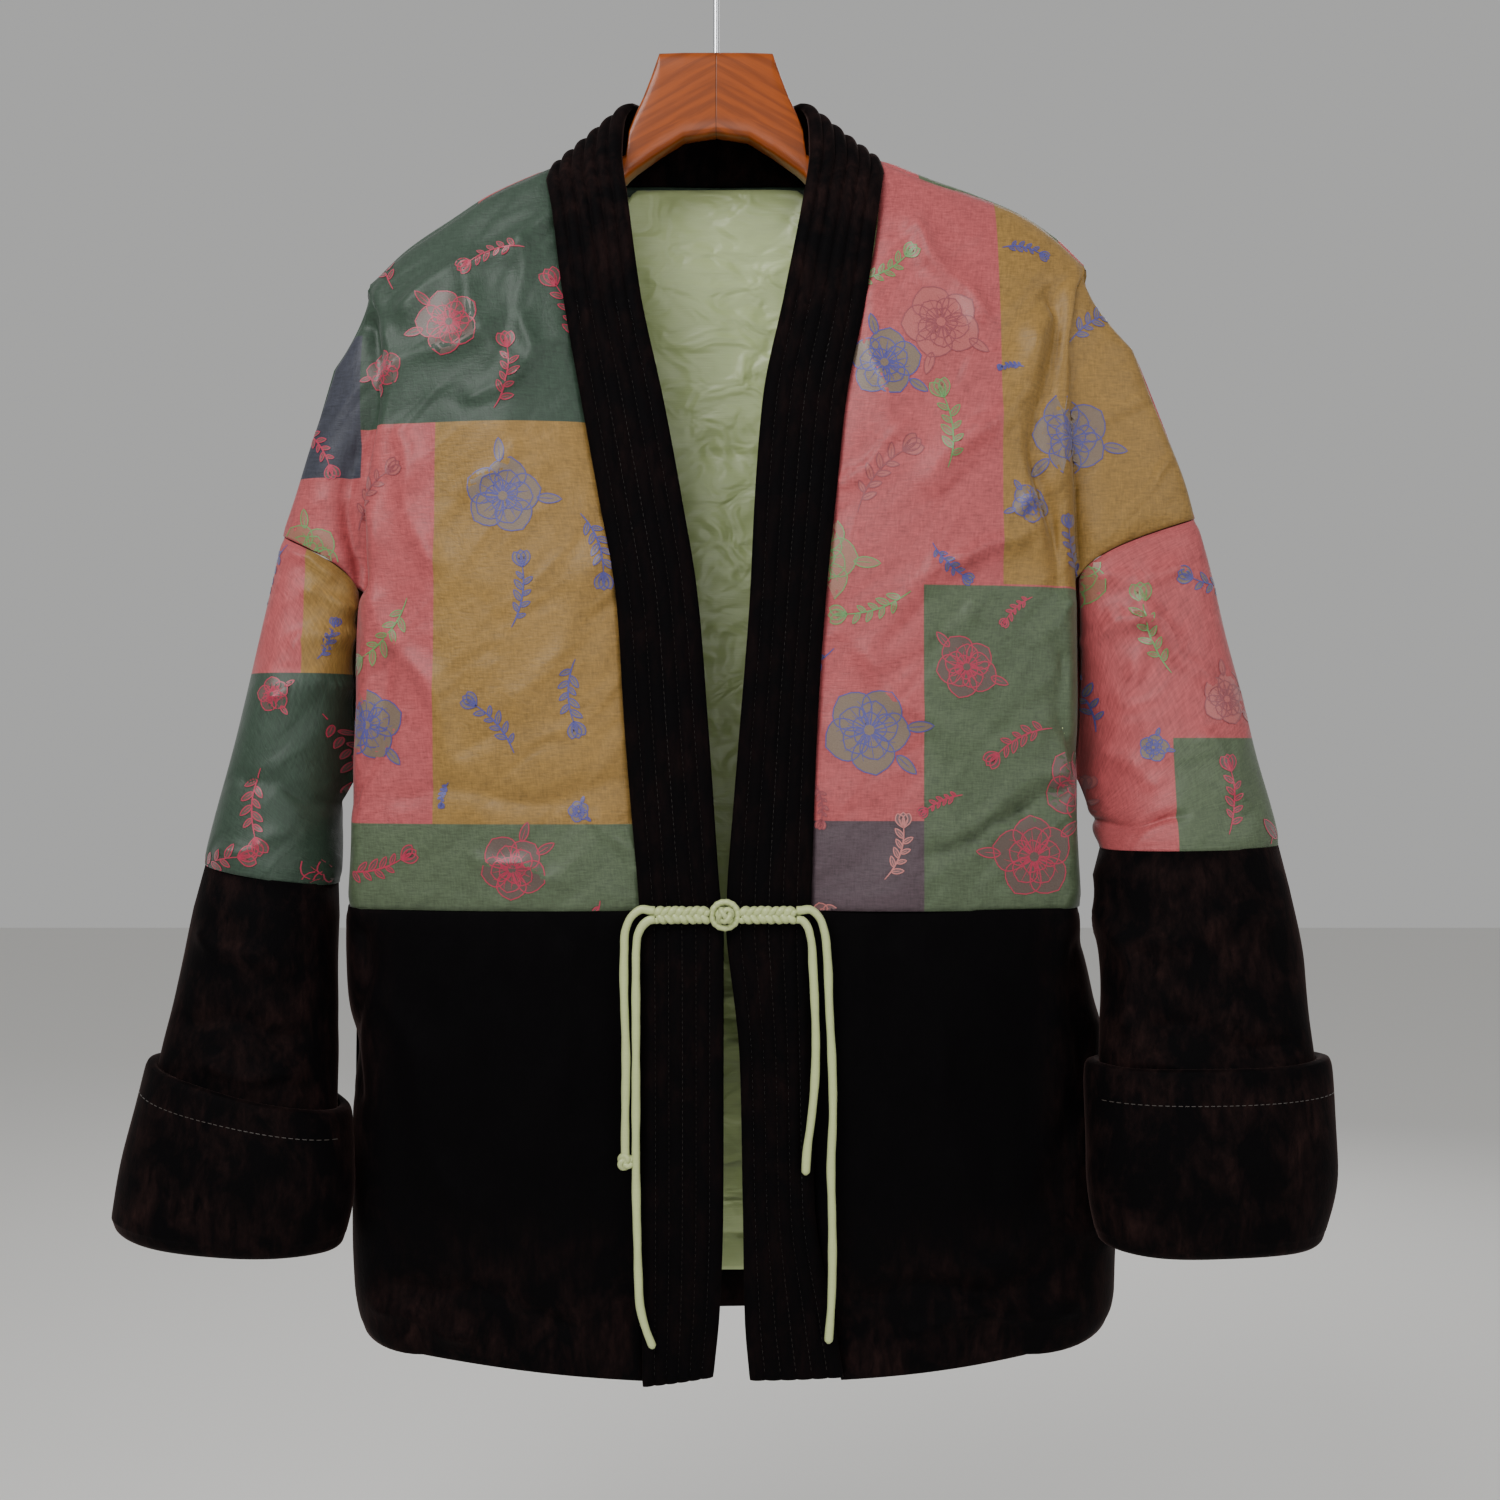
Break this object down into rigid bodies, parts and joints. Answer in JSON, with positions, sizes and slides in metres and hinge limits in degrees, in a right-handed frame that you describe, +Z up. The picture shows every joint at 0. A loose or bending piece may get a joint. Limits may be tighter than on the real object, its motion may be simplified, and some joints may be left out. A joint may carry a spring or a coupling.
{
  "type": "padded patchwork jacket on a wooden hanger",
  "caption": "Quilted padded jacket in silk patchwork and dark velvet, with a channel-stitched front band, turned-back cuffs and a corded frog closure, hung on a wooden hanger.",
  "frame": {"origin": "the inside of the hook's top, where it rests on a rail", "axes": "+Z up; the jacket's front faces -Y; +X to the right of a viewer who faces the front"},
  "size_m": [0.7369, 0.1697, 0.913],
  "materials": {
    "silk_left": "teal green silk brocade with gold, pink and green patches, satin sheen",
    "silk_right": "dusty pink silk brocade with gold, green and mauve patches, satin sheen",
    "velvet": "brown-black cut velvet with a soft pile",
    "lining": "sage green satin, quilted",
    "cord": "pale sage satin cord, with a stitched seam",
    "wood": "warm brown lacquer",
    "wire": "polished round wire"
  },
  "bodies": {
    "root": {"front_left_silk": "silk_left", "front_left_velvet": "velvet", "sleeve_left_silk": "silk_left", "sleeve_left_velvet": "velvet", "band_left": "velvet", "cuff_left": "velvet", "front_right_silk": "silk_right", "front_right_velvet": "velvet", "sleeve_right_silk": "silk_right", "sleeve_right_velvet": "velvet", "band_right": "velvet", "cuff_right": "velvet", "back_silk": "silk_right", "back_velvet": "velvet", "back_lining": "lining", "back_hem_facing": "velvet", "hanger_wood": "wood", "hanger_hook": "wire", "frog_bar_left": "cord", "frog_bar_right": "cord", "frog_knot": "cord", "frog_loop": "cord", "cord_left_long": "cord", "cord_left_short": "cord", "cord_right_long": "cord", "cord_right_short": "cord"}
  },
  "joints": []
}
